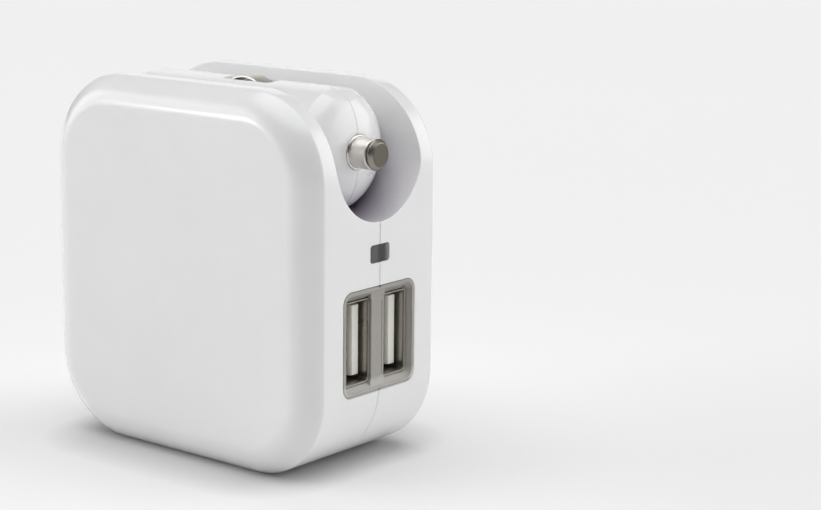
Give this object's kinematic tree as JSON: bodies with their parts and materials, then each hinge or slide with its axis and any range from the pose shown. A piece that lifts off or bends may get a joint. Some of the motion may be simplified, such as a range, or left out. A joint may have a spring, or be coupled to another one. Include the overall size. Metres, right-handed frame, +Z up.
{
  "type": "usb wall charger",
  "caption": "Rounded square USB charger with a car plug that folds out of a channel along its top and mains blades that fold out of its back.",
  "frame": {"origin": "centre of the underside, where the body's mid-planes meet the flat bottom", "axes": "+X towards the port face, +Y towards the wall side with the mains blades, +Z up"},
  "size_m": [0.057, 0.0326, 0.06],
  "materials": {
    "white_shell": "glossy moulded white plastic",
    "white_plug": "glossy moulded white plastic",
    "white_carrier": "satin moulded white plastic",
    "smoked_clear": "smoked clear plastic",
    "smoked_window": "dark smoked clear plastic",
    "led_clear": "clear cast resin",
    "bright_steel": "nickel plated pressed steel",
    "cream_plastic": "satin cream plastic",
    "gold_contact": "gold flashed contact",
    "board_green": "green solder mask",
    "ferrite": "ground ferrite",
    "black_plastic": "black moulded plastic",
    "copper_tape": "yellow winding tape",
    "can_sleeve": "shrink sleeve",
    "resistor_body": "coated resistor",
    "blue_disc": "dipped ceramic",
    "lead_sleeve": "insulated lead",
    "brass_spring": "brass strip",
    "nickel": "nickel plated brass",
    "nickel_cap": "nickel plated cap",
    "spring_steel": "spring steel",
    "fuse_glass": "clear glass",
    "blade_metal": "nickel plated brass blade"
  },
  "bodies": {
    "body": {"front_shell": "white_shell", "rear_shell": "white_shell", "usb_bezel": "smoked_clear", "led_window": "smoked_window", "status_led": "led_clear", "usb_shell_front": "bright_steel", "usb_shell_rear": "bright_steel", "usb_tongue_front": "cream_plastic", "usb_tongue_rear": "cream_plastic", "usb_contacts_front": "gold_contact", "usb_contacts_rear": "gold_contact", "main_board": "board_green", "transformer_core": "ferrite", "transformer_bobbin": "black_plastic", "transformer_winding": "copper_tape", "input_capacitors": "can_sleeve", "output_capacitors": "can_sleeve", "bridge_rectifier": "black_plastic", "fusible_resistor": "resistor_body", "input_choke": "black_plastic", "safety_capacitor": "blue_disc", "buck_inductor": "ferrite", "controller_chips": "black_plastic", "body_leads": "lead_sleeve", "blade_wipers": "brass_spring"},
    "car_plug": {"plug_front_half": "white_plug", "plug_rear_half": "white_plug", "nose_collar": "nickel", "tip_spring": "spring_steel", "fuse_glass": "fuse_glass", "fuse_caps": "nickel_cap", "fuse_terminal": "brass_spring", "ground_ring": "brass_spring", "plug_leads": "lead_sleeve", "pivot_washers": "spring_steel"},
    "centre_pin": {"centre_pin": "nickel"},
    "ground_upper": {"ground_contact_upper": "nickel"},
    "ground_lower": {"ground_contact_lower": "nickel"},
    "mains_blades": {"blade_carrier": "white_carrier", "blade_left": "blade_metal", "blade_right": "blade_metal"}
  },
  "joints": [
    {"name": "car_plug_swing", "type": "hinge", "parent": "body", "child": "car_plug", "pos_m": [-0.0183, 0, 0.0498], "axis": [0, -1, 0], "range_deg": [0, 180]},
    {"name": "centre_pin_push", "type": "slide", "parent": "car_plug", "child": "centre_pin", "axis": [-1, 0, 0], "range_m": [0, 0.0022], "stiffness_N_per_m": 400, "springref_m": -0.002, "deforming": ["tip_spring"]},
    {"name": "ground_upper_push", "type": "slide", "parent": "car_plug", "child": "ground_upper", "axis": [0, 0, -1], "range_m": [0, 0.0005], "stiffness_N_per_m": 400, "springref_m": -0.0005},
    {"name": "ground_lower_push", "type": "slide", "parent": "car_plug", "child": "ground_lower", "axis": [0, 0, 1], "range_m": [0, 0.0005], "stiffness_N_per_m": 400, "springref_m": -0.0005},
    {"name": "blades_fold", "type": "hinge", "parent": "body", "child": "mains_blades", "pos_m": [0, 0.01282, 0.03], "axis": [1, 0, 0], "range_deg": [0, 90]}
  ]
}
